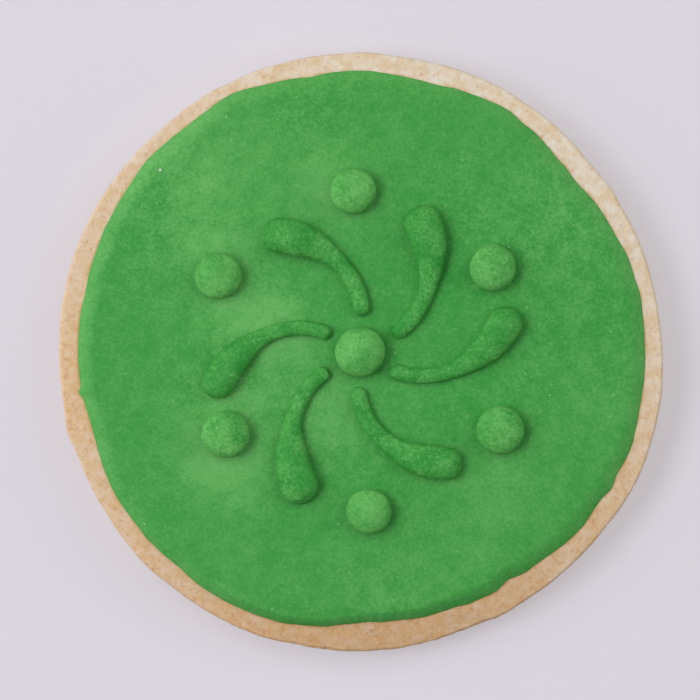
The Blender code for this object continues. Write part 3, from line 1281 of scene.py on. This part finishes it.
@dataclass
class Whirl:
    """The piped pattern: a dome in the middle, strokes that swing out of it, domes between."""

    coat: IcingCoat
    strokes: int = 6
    first_heading: float = math.radians(90)
    stroke_start: float = 6.4 * MM
    stroke_end: float = 21.6 * MM
    stroke_turn: float = math.radians(38)
    line: float = 1.15 * MM
    head: float = 2.6 * MM
    centre_radius: float = 3.8 * MM
    centre_height: float = 3.1 * MM
    outer_radius: float = 3.55 * MM
    outer_height: float = 2.9 * MM
    outer_ring: float = 23.8 * MM
    outer_lead: float = math.radians(62)

    def unevenness(self, index: int, kind: int) -> float:
        """A number between -1 and 1 that makes each piece a little unlike the next."""
        return math.sin(2.4 * index + 1.7 * kind + 0.6)

    def stroke(self, index: int) -> Stroke:
        """The stroke at one place in the whirl."""
        pitch = self.first_heading + math.tau * index / self.strokes
        return Stroke(
            node=f"stroke_{index + 1}",
            index=index,
            heading=pitch + math.radians(2) * self.unevenness(index, 6),
            start=self.stroke_start + 0.25 * MM * self.unevenness(index, 1),
            end=self.stroke_end + 0.6 * MM * self.unevenness(index, 2),
            turn=self.stroke_turn + math.radians(3) * self.unevenness(index, 3),
            line=self.line * (1 + 0.05 * self.unevenness(index, 4)),
            head=self.head * (1 + 0.07 * self.unevenness(index, 5)),
        )

    def outer_dome(self, index: int) -> Dome:
        """The drop beyond one stroke's head."""
        size = 1 + 0.035 * self.unevenness(index, 7)
        ring = self.outer_ring + 0.3 * MM * self.unevenness(index, 8)
        angle = self.first_heading + math.tau * index / self.strokes + self.outer_lead
        angle += math.radians(1.2) * self.unevenness(index, 9)
        return Dome(
            node=f"dome_{index + 1}",
            x=ring * math.cos(angle),
            y=ring * math.sin(angle),
            radius=self.outer_radius * size,
            height=self.outer_height * size,
            index=index + 1,
        )

    def build(self, finish: bpy.types.Material) -> None:
        """Makes every piped piece.

        Args:
            finish: The icing's material.
        """
        centre = Dome("dome_centre", 0.0, 0.0, self.centre_radius, self.centre_height, 0)
        centre.build(self.coat, finish)
        for index in range(self.strokes):
            self.stroke(index).build(self.coat, finish)
            self.outer_dome(index).build(self.coat, finish)


# The studio


@dataclass(frozen=True)
class Lamp:
    """A soft round lamp, aimed at the biscuit.

    Attributes:
        name: Its name.
        heading: Where it hangs, in degrees anticlockwise from +X.
        elevation: How high it hangs, in degrees.
        spread: Half the angle that it fills, in degrees.
        power: Its power in watts.
        colour: Its colour, as shares of red, green and blue.
        distance: How far it hangs from the biscuit.
    """

    name: str
    heading: float
    elevation: float
    spread: float
    power: float
    colour: tuple[float, float, float] = (1.0, 1.0, 1.0)
    distance: float = 1.6

    def hang(self, target: Vector) -> None:
        """Hangs the lamp, facing its target.

        Args:
            target: The place that it faces.
        """
        data = bpy.data.lights.new(self.name, "AREA")
        data.shape = "DISK"
        data.size = 2 * self.distance * math.tan(math.radians(self.spread))
        data.energy = self.power
        data.color = self.colour
        heading, elevation = math.radians(self.heading), math.radians(self.elevation)
        level = math.cos(elevation)
        away = Vector((level * math.cos(heading), level * math.sin(heading), math.sin(elevation)))
        lamp = bpy.data.objects.new(self.name, data)
        lamp.location = target + away * self.distance
        lamp.rotation_mode = "QUATERNION"
        lamp.rotation_quaternion = away.to_track_quat("Z", "Y")
        bpy.context.scene.collection.objects.link(lamp)


@dataclass
class Studio:
    """A pale lit table under soft lamps, and a camera that looks straight down."""

    middle: Vector
    frame_width: float = 105 * MM
    frame_offset: tuple[float, float] = (-1.5 * MM, 0.3 * MM)
    focus_height: float = 5.5 * MM
    camera_height: float = 0.9
    sensor: float = 36.0
    lamps: tuple[Lamp, ...] = (
        Lamp("left", 180, 50, 14, 12.28, (0.88, 0.89, 1.00)),
        Lamp("high_far_left", 135, 50, 14, 4.05, (0.97, 0.98, 1.00)),
        Lamp("far_left", 145, 32, 12, 3.47, (0.99, 0.95, 1.00)),
        Lamp("near_left", 215, 32, 12, 2.88, (0.96, 0.93, 1.00)),
        Lamp("low_left", 180, 18, 10, 3.14, (0.99, 0.94, 1.00)),
        Lamp("high_far_right", 45, 50, 14, 2.31, (0.96, 0.96, 1.00)),
        Lamp("far_right", 35, 32, 12, 3.41, (0.94, 0.97, 1.00)),
        Lamp("right", 0, 50, 14, 2.05, (0.94, 0.94, 1.00)),
        Lamp("low_right", 0, 18, 10, 3.90, (0.94, 0.98, 1.00)),
        Lamp("high_far_side", 90, 70, 14, 0.97, (0.99, 0.97, 1.00)),
        Lamp("far_side", 90, 32, 12, 0.32, (0.93, 1.00, 0.93)),
    )
    sky: tuple[float, float, float] = (1.0, 1.0, 0.97)
    sky_strength: float = 0.072
    floor_colour: Colour = (154, 152, 156)
    floor_glow: Colour = (170, 166, 170)
    floor_size: float = 6.0

    def camera(self) -> None:
        """Places the camera so that the frame is frame_width wide at the biscuit's height."""
        data = bpy.data.cameras.new("camera")
        data.sensor_width = self.sensor
        data.lens = self.sensor * self.camera_height / self.frame_width
        data.clip_end = 10
        camera = bpy.data.objects.new("camera", data)
        x, y = self.frame_offset
        camera.location = (self.middle.x + x, self.middle.y + y, self.focus_height + self.camera_height)
        bpy.context.scene.collection.objects.link(camera)
        bpy.context.scene.camera = camera

    def world(self) -> None:
        """Fills the scene with even pale light, shown without a film look."""
        world = bpy.data.worlds.new("sky")
        world.use_nodes = True
        light = world.node_tree.nodes["Background"]
        light.inputs["Color"].default_value = (*self.sky, 1)
        light.inputs["Strength"].default_value = self.sky_strength
        bpy.context.scene.world = world
        bpy.context.scene.view_settings.view_transform = "Standard"
        bpy.context.scene.view_settings.look = "None"

    def floor(self) -> None:
        """Lays the floor, a lit table that glows evenly, so that shadows on it stay faint."""
        half = self.floor_size / 2
        mesh = bpy.data.meshes.new("floor")
        corners = [(-half, -half, 0), (half, -half, 0), (half, half, 0), (-half, half, 0)]
        mesh.from_pydata(corners, [], [(0, 1, 2, 3)])
        make = Recipe("floor", roughness=0.9, specular=0.1)
        make.link(linear(self.floor_colour), make.shader.inputs["Base Color"])
        make.link(linear(self.floor_glow), make.shader.inputs["Emission Color"])
        make.link(1.0, make.shader.inputs["Emission Strength"])
        mesh.materials.append(make.material)
        floor = bpy.data.objects.new("floor", mesh)
        bpy.context.scene.collection.objects.link(floor)

    def build(self) -> None:
        """Sets up the whole studio."""
        self.camera()
        for lamp in self.lamps:
            lamp.hang(self.middle)
        self.world()
        self.floor()


def main() -> None:
    """Builds the studio, the biscuit, its coat and the whirl."""
    logging.basicConfig(level=logging.INFO, format="%(name)s: %(message)s")
    low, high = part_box("dome_centre")
    middle = Vector(((low.x + high.x) / 2, (low.y + high.y) / 2, 0))
    Studio(middle).build()
    biscuit = Biscuit(middle)
    coat = IcingCoat(biscuit)
    biscuit.build(coat.outline, BakedDough().material())
    coat.build(DriedIcing("coat_icing").material())
    piped = DriedIcing(
        "piped_icing",
        deep=(46, 150, 54),
        bloom=(120, 202, 104),
        cover=0.18,
        roughness=0.45,
        skin_depth=0.22 * MM,
        fleck=2.6,
    )
    Whirl(coat).build(piped.material())


if __name__ == "__main__":
    main()
